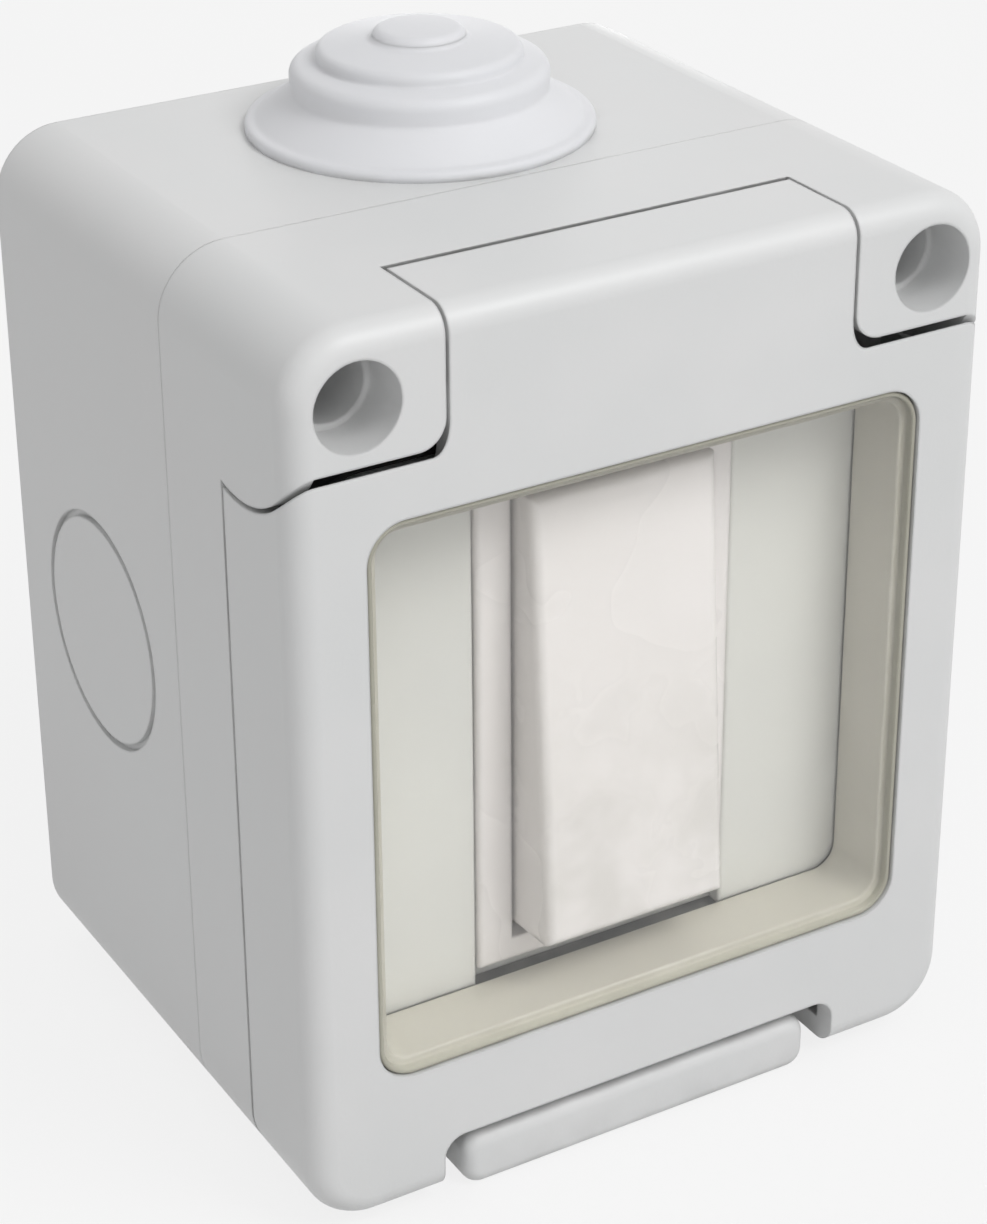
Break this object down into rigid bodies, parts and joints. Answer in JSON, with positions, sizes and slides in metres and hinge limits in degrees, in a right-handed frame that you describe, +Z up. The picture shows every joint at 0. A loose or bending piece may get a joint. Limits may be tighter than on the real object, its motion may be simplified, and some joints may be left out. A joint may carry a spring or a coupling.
{
  "type": "outdoor weatherproof switch",
  "caption": "Surface-mounted weatherproof rocker switch in a pale grey box, with a hinged flap lid, clear window and stepped rubber cable grommet on top.",
  "frame": {"origin": "centre of the back face, on the wall plane", "axes": "+X to the right seen from the front, -Y out of the wall towards the user, +Z up"},
  "size_m": [0.066, 0.055, 0.0921],
  "materials": {
    "shell": "pale grey moulded, satin",
    "grommet_rubber": "pale grey soft membrane",
    "seal_rubber": "dark soft rubber",
    "clear_window": "clear moulded plastic",
    "zinc_steel": "zinc plated",
    "plate": "grey moulded, satin",
    "switch_white": "white moulded, soft gloss",
    "insulator": "grey moulded, matt",
    "nylon": "natural nylon",
    "spring_steel": "drawn wire",
    "brass": "stamped"
  },
  "bodies": {
    "housing": {"back_box": "shell", "cable_grommet": "grommet_rubber", "base_seal": "seal_rubber", "front_frame": "shell", "frame_screws": "zinc_steel", "hinge_pin": "zinc_steel", "lid_seal": "seal_rubber", "module_carrier": "plate", "carrier_screws": "zinc_steel", "blank_left": "plate", "blank_right": "plate", "module_bezel": "switch_white", "module_housing": "insulator", "common_terminal": "brass", "contact_upper": "brass", "contact_lower": "brass", "terminal_clamps": "brass", "terminal_screws": "zinc_steel"},
    "lid": {"lid": "shell", "window_cover": "clear_window"},
    "rocker": {"rocker": "switch_white", "plunger": "nylon", "plunger_spring": "spring_steel"},
    "contact_lever": {"contact_lever": "brass"}
  },
  "joints": [
    {"name": "lid_hinge", "type": "hinge", "parent": "housing", "child": "lid", "pos_m": [0, -0.0474, 0.039], "axis": [-1, 0, 0], "range_deg": [0, 95]},
    {"name": "rocker_tilt", "type": "hinge", "parent": "housing", "child": "rocker", "pos_m": [0, -0.042, -0.0008], "axis": [1, 0, 0], "range_deg": [0, 8]},
    {"name": "lever_flip", "type": "hinge", "parent": "housing", "child": "contact_lever", "pos_m": [0, -0.0315, -0.0008], "axis": [1, 0, 0], "range_deg": [-10, 0]}
  ],
  "couplings": [
    {"joint": "lever_flip", "follows": "rocker_tilt", "ratio": -1.25}
  ]
}
